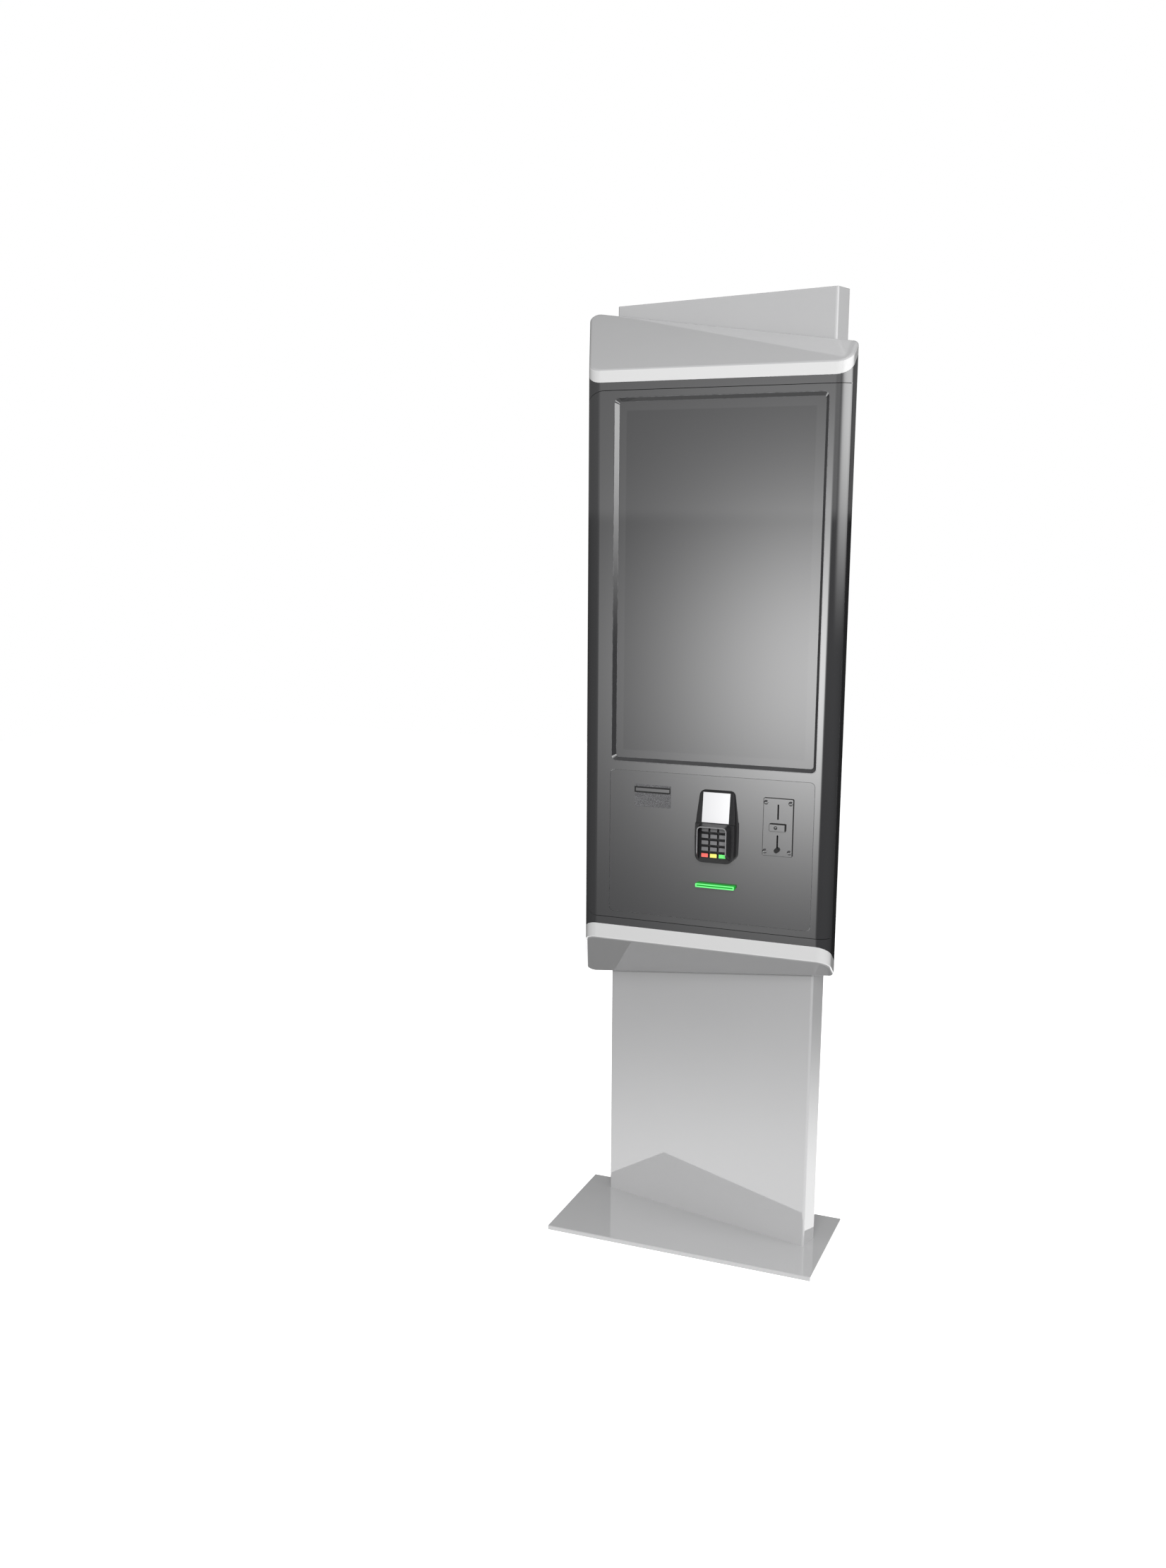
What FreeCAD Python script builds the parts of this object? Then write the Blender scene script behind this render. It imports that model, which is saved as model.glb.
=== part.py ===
"""Free-standing self-service payment kiosk, built as separate named pieces.

Frame: origin at the centre of the base plate's underside, +X to the right of a
user facing the kiosk, +Y away from the user, +Z up. Millimetres.
"""
import FreeCAD, Part
import math
import os

from FreeCAD import Placement, Rotation, Vector

os.makedirs("parts", exist_ok=True)

# ---- driving dimensions -------------------------------------------------
BASE_W, BASE_D, BASE_T = 615.0, 302.0, 10.0

PILLAR_L, PILLAR_T, PILLAR_H = 521.7, 56.1, 2064.5
PILLAR_YAW = -12.93
PILLAR_EDGE = Vector(-248.6, 96.3, 0)     # left end of the pillar's front face
PILLAR_WALL, PILLAR_R = 3.0, 5.0
PILLAR_COVER_T = 3.0
CABLE_R = 20.0                            # cable entry in the base and the pillar's foot

WALL = 2.5                                # housing sheet
FRONT_Y = -100.2                          # housing front face
RIGHT_X = 309.0                           # housing right side
CORNER_B = Vector(-237.3, FRONT_Y, 0)     # front-left corner before rounding
SIDE_TURN = 21.1                          # left side's angle from the Y axis
R_A, R_B, R_C, R_D = 18.0, 38.0, 30.0, 13.0

TOP_Z0, TOP_SLOPE, TOP_RIM = 1983.6, 0.6933, 25.2
BOT_Z0, BOT_SLOPE, BOT_RIM = 659.8, -0.7171, 34.1
CAP_WALL, CAP_FILLET = 3.0, 7.0

SEAM = 1.2                                # gap round the door
DOOR_Z0, DOOR_Z1 = 749.0, 1872.5
DOOR_RIGHT_Y = -77.0
FLAP_S = 112.0                            # how far the door wraps along the left side
FLAP_TOP = (1866.0, -0.607)               # height at the corner, slope
FLAP_BOTTOM = (753.0, 0.60)
FLAP_R = 15.0

WINDOW = (-180.7, 269.6, 1098.5, 1858.5)  # screen recess: x0, x1, z0, z1
WINDOW_R, LIP, LIP_DEPTH = 11.0, 8.5, 8.0
GLASS_T, GASKET_T, LCD_T = 4.0, 1.0, 23.0
ACTIVE_C = (43.0, 1477.5)                 # centre of the lit area
ACTIVE_W, ACTIVE_H = 398.4, 708.4

PANEL = (-181.7, 267.5, 764.2, 1079.8)    # service panel
PANEL_R, PANEL_GAP = 10.0, 0.8

COIN_C, COIN_W, COIN_H, COIN_T = (193.2, 981.3), 64.3, 123.0, 3.8
COIN_SCREW_DX, COIN_SCREW_DZ = 52.4, 104.1
BUTTON_W, BUTTON_H, BUTTON_OUT, BUTTON_TRAVEL = 34.0, 15.5, 7.0, 3.0
LEVER_Z, LEVER_TRAVEL, LEVER_R = 933.0, 28.0, 5.0
COIN_OPENING = (21.5, 53.0)               # half width and height of the panel's opening behind the plate

RECEIPT = (18.6, 104.6, 838.7, 847.3)
RECEIPT_OUT = 12.0

NOTE_SLOT = (-126.0, -44.0, 1033.3, 1046.7)
NOTE_PATCH = (-124.5, -43.5, 1003.0, 1051.0)
NOTE_RIM, NOTE_DEPTH = 2.5, 6.0
SHUTTER_R, SHUTTER_PIN_R, SHUTTER_GAP = 1.2, 0.8, 0.5
SHUTTER_AXIS = (FRONT_Y + 1.6, 1042.8)    # y, z of the shutter's hinge pins

TERM_C = 61.0                             # terminal's centre line
TERM_HALF = ((896.0, 42.0, 17.0), (972.0, 44.0, 600.0), (1050.0, 37.0, 11.0))  # z, half width, radius
TERM_KEY_Y = -118.8                       # keypad floor
TERM_STEP_Z = 981.0                       # where the leaning screen face begins
TERM_LEAN_Y, TERM_LEAN = -115.8, 7.85     # screen face: y at its foot, angle
TERM_SCREEN_W, TERM_SCREEN_H = 59.0, 64.0
SHIELD_Y = -141.0                         # front of the keypad's privacy shield
SHIELD_BASE, SHIELD_RIM = (36.5, 898.0, 981.0), (32.5, 914.0, 978.0)   # half width, z0, z1
SHIELD_WALL = 2.6
KEY_W, KEY_H, KEY_PITCH_X, KEY_PITCH_Z = 15.6, 9.2, 19.2, 13.9
KEY_TOP_Z = 968.5                         # centre of the top row
KEY_OUT, KEY_IN, KEY_CLEAR = 4.4, 2.4, 0.3
STUD_R = 2.5

HINGE = Vector(RIGHT_X + 0.5, DOOR_RIGHT_Y, 0)
HINGE_R0, HINGE_R1, HINGE_H = 20.0, 24.0, 16.0
HINGE_HEIGHTS = (860.0, 1380.0, 1790.0)
HINGE_CLEAR = 0.5
ARM_START, ARM_SWEEP = 101.0, 119.0       # angles of the arm's arc round the hinge axis
ARM_FOOT, ARM_SHANK = (271.0, 279.0, -89.0), (271.0, 290.0, -93.0, -86.0)
GUIDE_X0, GUIDE_Y1, GUIDE_CHEEK = 282.0, -58.0, 4.0
MAGNET_BOX = (FLAP_S + 2, FLAP_S + 30, -33.0, -WALL, 1250.0, 1490.0)
ARMATURE_BOX = (FLAP_S - 14, FLAP_S - 1.5, -31.0, -WALL, 1260.0, 1480.0)

BOLT_R, BOLT_HOLE_R, BOLT_HEAD_R, BOLT_HEAD_H = 4.0, 4.25, 6.5, 5.0
BOLT_U, BOLT_Z = (60.0, 300.0), (800.0, 1150.0, 1850.0)
FOOT_U, FOOT_H = (45.0, 170.0, 350.0, 475.0), 12.0

RAIL_Z, RAIL_HALF, RAIL_T = (1240.0, 1700.0), 12.0, 4.0
RAIL_LEFT, RAIL_RIGHT = (-192.0, -183.0), (270.5, 276.0)
FLANGE_X, FLANGE_OUT, FLANGE_T = (-200.0, 275.0), 12.0, 2.0

COIN_UNIT = (33.0, 55.0, -90.0, -40.0)    # half width, half height, y0, y1
COIN_BOX = (33.0, -92.0, -36.0, 778.0, 918.0)
COIN_SLOT = (1.6, 997.6, 1030.3)          # half width, z0, z1
VALIDATOR_BOX = (-84.0, 18.0, 990.0, 1072.0)
CASSETTE_BOX = (-70.0, 18.0, 790.0, 988.0)
NOTE_SIDE = 7.0                           # the note units reach this far past the slot
COMPUTER_BOX = (20.0, 250.0, -46.0, -WALL, 1450.0, 1700.0)
SUPPLY_BOX = (20.0, 230.0, -44.0, -WALL, 1250.0, 1400.0)

FAN_C, FAN_SIZE, FAN_T, FAN_BORE = (100.0, 1575.0), 80.0, 25.0, 37.0
FAN_HUB_R, FAN_POST_R, FAN_BLADES, BLADE_R = 15.0, 2.95, 7, 35.0

PLATEN = (-80.0, 834.7)                   # y, z of the platen's axis
PLATEN_R, PLATEN_PIN_R = 8.0, 3.0
ROLL = (-50.0, 796.0)                     # y, z of the paper roll's axis
ROLL_R, CORE_R, SPINDLE_R = 32.0, 8.0, 7.95
PRINTER_X, PRINTER_Y, PRINTER_Z, PRINTER_T = (15.6, 107.6), (-94.0, -10.0), (760.0, 880.0), 3.0
HEAD_BOX = (-93.0, -60.0, 845.3, 877.0)
RUN_FIT = 0.05

REAR = Placement(PILLAR_EDGE, Rotation(Vector(0, 0, 1), PILLAR_YAW))
SIDE = Placement(CORNER_B, Rotation(Vector(0, 0, 1), 90.0 + SIDE_TURN))
FAR = 3000.0


# ---- helpers ------------------------------------------------------------
def box(x0, x1, y0, y1, z0, z1):
    return Part.makeBox(x1 - x0, y1 - y0, z1 - z0, Vector(x0, y0, z0))


def rod(axis, at, radius, length):
    """Cylinder that starts at a point and runs along an axis vector."""
    return Part.makeCylinder(radius, length, Vector(*at), Vector(*axis))


def placed(shape, placement):
    """Copy of a shape, built in a local frame, moved to its place."""
    return shape.transformed(placement.toMatrix())


def fuse(shapes):
    first, *rest = shapes
    return first.fuse(rest).removeSplitter() if rest else first


def rounded_face(points, radii):
    """Flat face through corner points, each corner rounded by its own arc."""
    count = len(points)
    edges, joints = [], []
    for i in range(count):
        corner = points[i]
        back = (points[i - 1] - corner).normalize()
        on = (points[(i + 1) % count] - corner).normalize()
        half = back.getAngle(on) / 2
        reach = radii[i] / math.tan(half)
        middle = (back + on).normalize() * (radii[i] / math.sin(half) - radii[i])
        joints.append((corner + back * reach, corner + middle, corner + on * reach))
    for i in range(count):
        start, mid, end = joints[i]
        edges.append(Part.Arc(start, mid, end).toShape())
        edges.append(Part.makeLine(end, joints[(i + 1) % count][0]))
    return Part.Face(Part.Wire(edges))


def plate(x0, x1, z0, z1, y0, y1, r):
    """Upright plate with rounded corners, from y0 back to y1."""
    corners = [Vector(x0, y0, z0), Vector(x1, y0, z0), Vector(x1, y0, z1), Vector(x0, y0, z1)]
    return rounded_face(corners, [r] * 4).extrude(Vector(0, y1 - y0, 0))


def rear_line_y(x):
    """Y of the housing's rear face, which lies on the pillar's front face."""
    return PILLAR_EDGE.y + math.tan(math.radians(PILLAR_YAW)) * (x - PILLAR_EDGE.x)


def slope_cut(z0, slope, above):
    """Everything above or below the plane z = z0 + slope * y."""
    wide = FAR / 2
    low, high = z0 - slope * wide, z0 + slope * wide
    end = FAR if above else -FAR
    outline = Part.makePolygon([
        Vector(-wide, -wide, low), Vector(-wide, wide, high),
        Vector(-wide, wide, end), Vector(-wide, -wide, end), Vector(-wide, -wide, low)])
    return Part.Face(outline).extrude(Vector(FAR, 0, 0))


# ---- housing ------------------------------------------------------------
def housing_face(inset):
    """Plan of the housing, moved inwards by the inset."""
    side = Vector(-math.sin(math.radians(SIDE_TURN)), math.cos(math.radians(SIDE_TURN)), 0)
    tilt = math.tan(math.radians(PILLAR_YAW))
    run = (rear_line_y(CORNER_B.x) - CORNER_B.y) / (side.y - tilt * side.x)
    corners = [CORNER_B + side * run, CORNER_B, Vector(RIGHT_X, FRONT_Y, 0),
               Vector(RIGHT_X, rear_line_y(RIGHT_X), 0)]
    face = rounded_face(corners, [R_A, R_B, R_C, R_D])
    return face.makeOffset2D(-inset) if inset else face


def housing_prism(inset, z0, z1):
    face = housing_face(inset)
    face.translate(Vector(0, 0, z0))
    return face.extrude(Vector(0, 0, z1 - z0))


def door_region(grow):
    """Space that the door takes out of the housing's wall, grown by a gap."""
    top, top_slope = FLAP_TOP
    low, low_slope = FLAP_BOTTOM
    top_s = (DOOR_Z1 - top) / top_slope
    low_s = (DOOR_Z0 - low) / low_slope
    end = FLAP_S + grow
    corners = [Vector(-FAR, 0, DOOR_Z0 - grow), Vector(low_s, 0, DOOR_Z0 - grow),
               Vector(end, 0, low + low_slope * FLAP_S - grow),
               Vector(end, 0, top + top_slope * FLAP_S + grow),
               Vector(top_s, 0, DOOR_Z1 + grow), Vector(-FAR, 0, DOOR_Z1 + grow)]
    slab = rounded_face(corners, [1, 1, FLAP_R, FLAP_R, 1, 1])
    slab.translate(Vector(0, -FAR / 2, 0))
    slab = placed(slab.extrude(Vector(0, FAR, 0)), SIDE)
    seam_y = DOOR_RIGHT_Y + grow
    plan = Part.makePolygon([
        Vector(-500, -300, 0), Vector(500, -300, 0), Vector(500, seam_y, 0),
        Vector(200, seam_y, 0), Vector(-220, 60, 0), Vector(-500, 60, 0), Vector(-500, -300, 0)])
    return slab.common(Part.Face(plan).extrude(Vector(0, 0, FAR)))


def housing_wall():
    ring = housing_prism(0, 400, 2150).cut(housing_prism(WALL, 390, 2160))
    ring = ring.cut(slope_cut(TOP_Z0 - TOP_RIM, TOP_SLOPE, True))
    return ring.cut(slope_cut(BOT_Z0, BOT_SLOPE, False))


def bolt_points():
    """Bolts between housing and pillar, as (along the pillar, height)."""
    return [(u, z) for u in BOLT_U for z in BOLT_Z]


def rear_shell():
    shell = housing_wall().cut(door_region(SEAM / 2))
    for u, z in bolt_points():
        shell = shell.cut(placed(rod((0, 1, 0), (u, -10, z), BOLT_HOLE_R, 20), REAR))
    return shell


def cap(inside_out):
    """Rim and sloping lid as one moulding; the top and bottom caps differ in planes only."""
    if inside_out:
        lid, rim, slope, away = BOT_Z0 - BOT_RIM, BOT_Z0, BOT_SLOPE, False
    else:
        lid, rim, slope, away = TOP_Z0, TOP_Z0 - TOP_RIM, TOP_SLOPE, True
    inward = -CAP_WALL if away else CAP_WALL
    level = inward * math.hypot(1, slope)
    body = housing_prism(0, 300, 2300).cut(slope_cut(lid, slope, away))
    edges = [e for e in body.Edges if e.BoundBox.ZLength < 260 and abs(lid_gap(e, lid, slope)) < 0.01]
    body = body.makeFillet(CAP_FILLET, edges)
    core = housing_prism(CAP_WALL, 290, 2310).cut(slope_cut(lid + level, slope, away))
    return body.cut(core).cut(slope_cut(rim, slope, not away))


def lid_gap(edge, lid, slope):
    """Distance in height between an edge's middle and the lid's plane."""
    point = edge.valueAt((edge.FirstParameter + edge.LastParameter) / 2)
    return point.z - (lid + slope * point.y)


def door_shell():
    shell = housing_wall().common(door_region(-SEAM / 2))
    x0, x1, z0, z1 = WINDOW
    shell = shell.cut(plate(x0, x1, z0, z1, FRONT_Y - 5, FRONT_Y + 8, WINDOW_R))
    x0, x1, z0, z1 = (PANEL[0] - PANEL_GAP, PANEL[1] + PANEL_GAP,
                      PANEL[2] - PANEL_GAP, PANEL[3] + PANEL_GAP)
    shell = shell.cut(plate(x0, x1, z0, z1, FRONT_Y - 5, FRONT_Y + 8, PANEL_R + PANEL_GAP))
    back = FRONT_Y + WALL
    low, high = DOOR_Z0 + SEAM / 2, DOOR_Z1 - SEAM / 2
    flanges = [box(*FLANGE_X, back - 1, back + FLANGE_OUT, z, z + FLANGE_T) for z in (low, high - FLANGE_T)]
    return fuse([shell] + flanges)


# ---- stand --------------------------------------------------------------
def foot_points():
    return [(u, PILLAR_T / 2) for u in FOOT_U]


def cable_hole(z0, z1):
    return placed(rod((0, 0, 1), (PILLAR_L / 2, PILLAR_T / 2, z0), CABLE_R, z1 - z0), REAR)


def base_plate():
    plate_solid = box(-BASE_W / 2, BASE_W / 2, -BASE_D / 2, BASE_D / 2, 0, BASE_T)
    rim = [e for e in plate_solid.Edges if e.BoundBox.ZMin > BASE_T - 0.1 or e.BoundBox.ZLength > 1]
    plate_solid = plate_solid.makeFillet(1.5, rim).cut(cable_hole(-1, BASE_T + 1))
    for u, v in foot_points():
        plate_solid = plate_solid.cut(placed(rod((0, 0, 1), (u, v, -1), BOLT_HOLE_R, BASE_T + 2), REAR))
        plate_solid = plate_solid.cut(placed(rod((0, 0, 1), (u, v, -1), 8.0, 6.2), REAR))
    return plate_solid


def pillar_face(inset):
    corners = [Vector(inset, inset, 0), Vector(PILLAR_L - inset, inset, 0),
               Vector(PILLAR_L - inset, PILLAR_T - inset, 0), Vector(inset, PILLAR_T - inset, 0)]
    return rounded_face(corners, [PILLAR_R - inset] * 4)


def pillar_prism(inset, z0, z1):
    face = pillar_face(inset)
    face.translate(Vector(0, 0, z0))
    return face.extrude(Vector(0, 0, z1 - z0))


def pillar():
    tube = pillar_prism(0, BASE_T, PILLAR_H - PILLAR_COVER_T)
    tube = tube.cut(pillar_prism(PILLAR_WALL, 0, PILLAR_H))
    for u, z in bolt_points():
        tube = tube.cut(rod((0, 1, 0), (u, -10, z), BOLT_HOLE_R, 20))
    return placed(tube, REAR)


def pillar_top_cover():
    cover = pillar_prism(0, PILLAR_H - PILLAR_COVER_T, PILLAR_H)
    rim = [e for e in cover.Edges if e.BoundBox.ZMin > PILLAR_H - 0.1]
    cover = cover.makeFillet(1.5, rim)
    plug = pillar_prism(PILLAR_WALL + 0.3, PILLAR_H - 15, PILLAR_H - PILLAR_COVER_T)
    plug = plug.cut(pillar_prism(PILLAR_WALL + 1.8, 0, PILLAR_H - PILLAR_COVER_T))
    return placed(cover.fuse(plug), REAR)


def pillar_foot():
    foot = placed(pillar_prism(PILLAR_WALL + 0.2, BASE_T, BASE_T + FOOT_H), REAR)
    foot = foot.cut(cable_hole(0, 50))
    for u, v in foot_points():
        foot = foot.cut(placed(rod((0, 0, 1), (u, v, 0), BOLT_R, 50), REAR))
    return foot


def base_screws():
    screws = []
    for u, v in foot_points():
        head = rod((0, 0, 1), (u, v, 0.6), BOLT_HEAD_R, 4.6)
        screws.append(placed(head.fuse(rod((0, 0, 1), (u, v, 5.0), 3.95, 15)), REAR))
    return Part.makeCompound(screws)


def mounting_bolts():
    bolts = []
    for u, z in bolt_points():
        head = rod((0, 1, 0), (u, -WALL - BOLT_HEAD_H, z), BOLT_HEAD_R, BOLT_HEAD_H)
        nut = rod((0, 1, 0), (u, PILLAR_WALL, z), BOLT_HEAD_R, 6.0)
        shank = rod((0, 1, 0), (u, -WALL - 1, z), BOLT_R, 14)
        bolts.append(placed(fuse([head, shank, nut]), REAR))
    return Part.makeCompound(bolts)


# ---- door hinge and magnetic lock ---------------------------------------
def ring_sector(r0, r1, start, sweep, z0, z1):
    """Piece of a ring round the door's hinge axis, between two angles."""
    ring = Part.makeCylinder(r1, z1 - z0, Vector(0, 0, z0), Vector(0, 0, 1), sweep)
    ring = ring.cut(Part.makeCylinder(r0, z1 - z0, Vector(0, 0, z0)))
    return placed(ring, Placement(HINGE, Rotation(Vector(0, 0, 1), start)))


def hinge_arms():
    arms = []
    back = FRONT_Y + WALL
    for z in HINGE_HEIGHTS:
        z0, z1 = z - HINGE_H / 2, z + HINGE_H / 2
        arc = ring_sector(HINGE_R0, HINGE_R1, ARM_START, ARM_SWEEP, z0, z1)
        foot = box(*ARM_FOOT[:2], back, ARM_FOOT[2], z0, z1)
        arms.append(fuse([arc, foot, box(*ARM_SHANK, z0, z1)]))
    return Part.makeCompound(arms)


def hinge_guides():
    """Slotted blocks on the housing's inner wall that the arms' arcs slide in."""
    guides = []
    half = HINGE_H / 2 + HINGE_CLEAR
    reach = half + GUIDE_CHEEK
    for z in HINGE_HEIGHTS:
        block = box(GUIDE_X0, RIGHT_X, DOOR_RIGHT_Y + SEAM, GUIDE_Y1, z - reach, z + reach)
        block = block.common(housing_prism(WALL, z - reach, z + reach))
        slot = ring_sector(HINGE_R0 - HINGE_CLEAR, HINGE_R1 + HINGE_CLEAR, 0, 360, z - half, z + half)
        guides.append(block.cut(slot))
    return Part.makeCompound(guides)


def door_magnet():
    return placed(box(*MAGNET_BOX), SIDE)


def magnet_armature():
    return placed(box(*ARMATURE_BOX), SIDE)


# ---- screen -------------------------------------------------------------
def window_plate(inset, y0, y1, r):
    x0, x1, z0, z1 = WINDOW
    return plate(x0 + inset, x1 - inset, z0 + inset, z1 - inset, y0, y1, r)


def screen_bezel():
    """Bevelled lip round the screen, from the door's face down to the glass."""
    frame = window_plate(0.2, FRONT_Y, FRONT_Y + LIP_DEPTH + 1, WINDOW_R)
    front = window_plate(1.2, FRONT_Y - 1, FRONT_Y, WINDOW_R - 1).Faces
    back = window_plate(LIP, FRONT_Y - 1, FRONT_Y, WINDOW_R - 5).Faces
    front_wire = min(front, key=lambda f: f.CenterOfMass.y).OuterWire
    back_wire = min(back, key=lambda f: f.CenterOfMass.y).OuterWire
    front_wire.translate(Vector(0, 1 - 0.01, 0))
    back_wire.translate(Vector(0, 1 + LIP_DEPTH + 1.01, 0))
    return frame.cut(Part.makeLoft([front_wire, back_wire], True, True))


def touch_glass():
    y0 = FRONT_Y + LIP_DEPTH + 1
    return window_plate(2, y0, y0 + GLASS_T, WINDOW_R - 3)


def active_plate(margin, y0, y1, r):
    cx, cz = ACTIVE_C
    half_w, half_h = ACTIVE_W / 2 + margin, ACTIVE_H / 2 + margin
    return plate(cx - half_w, cx + half_w, cz - half_h, cz + half_h, y0, y1, r)


def screen_gasket():
    y0 = FRONT_Y + LIP_DEPTH + 1 + GLASS_T
    return window_plate(2, y0, y0 + GASKET_T, WINDOW_R - 3).cut(active_plate(1, y0 - 1, y0 + 5, 1))


def lcd_panel():
    y0 = FRONT_Y + LIP_DEPTH + 1 + GLASS_T + GASKET_T
    return active_plate(10, y0, y0 + LCD_T, 3)


def display_rails():
    back = FRONT_Y + WALL
    lcd_back = FRONT_Y + LIP_DEPTH + 1 + GLASS_T + GASKET_T + LCD_T
    rails = []
    for z in RAIL_Z:
        z0, z1 = z - RAIL_HALF, z + RAIL_HALF
        bar = box(RAIL_LEFT[0], RAIL_RIGHT[1], lcd_back, lcd_back + RAIL_T, z0, z1)
        legs = [box(*ends, back, lcd_back + RAIL_T, z0, z1) for ends in (RAIL_LEFT, RAIL_RIGHT)]
        rails.append(fuse([bar] + legs))
    return Part.makeCompound(rails)


# ---- service panel ------------------------------------------------------
def service_panel():
    back = FRONT_Y + WALL
    panel = plate(*PANEL, FRONT_Y, back, PANEL_R)
    cx, cz = COIN_C
    half_w, half_h = COIN_OPENING
    cuts = [box(cx - half_w, cx + half_w, FRONT_Y - 5, back + 5, cz - half_h, cz + half_h)]
    for x, z in coin_screw_points():
        cuts.append(rod((0, 1, 0), (x, FRONT_Y - 5, z), 2.1, 15))
    cuts.append(box(*NOTE_SLOT[:2], FRONT_Y - 5, back + 5, *NOTE_SLOT[2:]))
    cuts.append(box(*RECEIPT[:2], FRONT_Y - 5, back + 5, *RECEIPT[2:]))
    cuts += [rod((0, 1, 0), (x, FRONT_Y - 5, z), STUD_R + 0.1, 15) for x, z in stud_points()]
    return panel.cut(Part.makeCompound(cuts))


def service_panel_frame():
    """Welded ring behind the seam that carries the service panel."""
    x0, x1, z0, z1 = PANEL
    back = FRONT_Y + WALL
    outer = plate(x0 - 6, x1 + 2.5, z0 - 8, z1 + 8, back, back + 2, PANEL_R)
    return outer.cut(plate(x0 + 10, x1 - 10, z0 + 8, z1 - 8, back - 5, back + 5, PANEL_R))


# ---- coin acceptor ------------------------------------------------------
def coin_screw_points():
    cx, cz = COIN_C
    return [(cx + i * COIN_SCREW_DX / 2, cz + j * COIN_SCREW_DZ / 2) for i in (-1, 1) for j in (-1, 1)]


def coin_plate():
    cx, cz = COIN_C
    front = FRONT_Y - COIN_T
    body = plate(cx - COIN_W / 2, cx + COIN_W / 2, cz - COIN_H / 2, cz + COIN_H / 2, front, FRONT_Y, 3)
    rim = [e for e in body.Edges if e.BoundBox.YMax < front + 0.1]
    body = body.makeFillet(1.2, rim)
    half_w, half_h = BUTTON_W / 2 + 0.4, BUTTON_H / 2 + 0.4
    slot_half, slot_z0, slot_z1 = COIN_SLOT
    cuts = [plate(cx - slot_half, cx + slot_half, slot_z0, slot_z1, front - 5, FRONT_Y + 5, slot_half - 0.01),
            box(cx - half_w, cx + half_w, front - 5, FRONT_Y + 5, cz - half_h, cz + half_h),
            plate(cx - 1.7, cx + 1.7, LEVER_Z - 2, LEVER_Z + LEVER_TRAVEL + 4, front - 5, FRONT_Y + 5, 1.69)]
    cuts += [rod((0, 1, 0), (x, front - 5, z), 2.1, 15) for x, z in coin_screw_points()]
    return body.cut(Part.makeCompound(cuts))


def coin_plate_screws():
    front = FRONT_Y - COIN_T
    screws = []
    for x, z in coin_screw_points():
        dome = Part.makeSphere(6.0, Vector(x, front + 3.2, z)).common(
            rod((0, 1, 0), (x, front - 5, z), 5.0, 5.0))
        slot = box(x - 3, x + 3, front - 4, front - 2.0, z - 0.6, z + 0.6)
        screws.append(fuse([dome.cut(slot), rod((0, 1, 0), (x, front, z), 2.0, 10)]))
    return Part.makeCompound(screws)


def coin_button():
    cx, cz = COIN_C
    front = FRONT_Y - COIN_T - BUTTON_OUT
    face = plate(cx - BUTTON_W / 2, cx + BUTTON_W / 2, cz - BUTTON_H / 2, cz + BUTTON_H / 2,
                 front, FRONT_Y + 5, 2)
    face = face.makeFillet(1.0, [e for e in face.Edges if e.BoundBox.YMax < front + 0.1])
    return face.cut(Part.makeSphere(6.0, Vector(cx - 3, front - 4.6, cz)))


def coin_lever():
    cx = COIN_C[0]
    front = FRONT_Y - COIN_T
    knob = rod((0, 1, 0), (cx, front - 8, LEVER_Z), LEVER_R, 7.5)
    pin = rod((0, 1, 0), (cx, front - 1, LEVER_Z), 1.3, 12)
    return fuse([knob, pin, rod((0, 1, 0), (cx, FRONT_Y + WALL + 0.5, LEVER_Z), 4.5, 3)])


def coin_acceptor():
    cx, cz = COIN_C
    half_w, half_h, y0, y1 = COIN_UNIT
    body = box(cx - half_w, cx + half_w, y0, y1, cz - half_h, cz + half_h)
    return body.cut(box(cx - 2, cx + 2, y0 - 5, y0 + 30, COIN_SLOT[1] - 2, COIN_SLOT[2] + 2))


def coin_box():
    cx = COIN_C[0]
    half_w, y0, y1, z0, z1 = COIN_BOX
    return box(cx - half_w, cx + half_w, y0, y1, z0, z1)


# ---- receipt printer ----------------------------------------------------
def receipt_bezel():
    x0, x1, z0, z1 = RECEIPT
    front = FRONT_Y - RECEIPT_OUT
    body = plate(x0 + 0.2, x1 - 0.2, z0 + 0.2, z1 - 0.2, front, FRONT_Y + WALL + 2, 1.5)
    return body.cut(box(x0 + 3, x1 - 3, front - 5, FRONT_Y + 20, (z0 + z1) / 2 - 1.3, (z0 + z1) / 2 + 1.3))


def printer_frame():
    """Sheet cradle with bearings for the platen and a fixed spindle for the paper roll."""
    x0, x1 = PRINTER_X
    y0, y1 = PRINTER_Y
    z0, z1 = PRINTER_Z
    sides = [box(a, a + PRINTER_T, y0, y1, z0, z1) for a in (x0, x1 - PRINTER_T)]
    back, roof = box(x0, x1, y1 - PRINTER_T, y1, z0, z1), box(x0, x1, y0, y1, z1 - PRINTER_T, z1)
    frame = fuse(sides + [back, roof])
    y, z = PLATEN
    frame = frame.cut(rod((1, 0, 0), (x0 - 5, y, z), PLATEN_PIN_R + RUN_FIT, x1 - x0 + 10))
    y, z = ROLL
    return fuse([frame, rod((1, 0, 0), (x0, y, z), SPINDLE_R, x1 - x0)])


def printer_head():
    x0, x1 = PRINTER_X
    y0, y1, z0, z1 = HEAD_BOX
    body = box(x0 + PRINTER_T, x1 - PRINTER_T, y0, y1, z0, z1)
    return body.cut(box(x0 + 8, x1 - 8, y0 + 13, y1 + 5, z0 + 7, z1 - 9))


def platen_roller():
    x0, x1 = PRINTER_X
    y, z = PLATEN
    return fuse([rod((1, 0, 0), (x0 + 5, y, z), PLATEN_R, x1 - x0 - 10),
                 rod((1, 0, 0), (x0 - 2, y, z), PLATEN_PIN_R, x1 - x0 + 4)])


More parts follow.
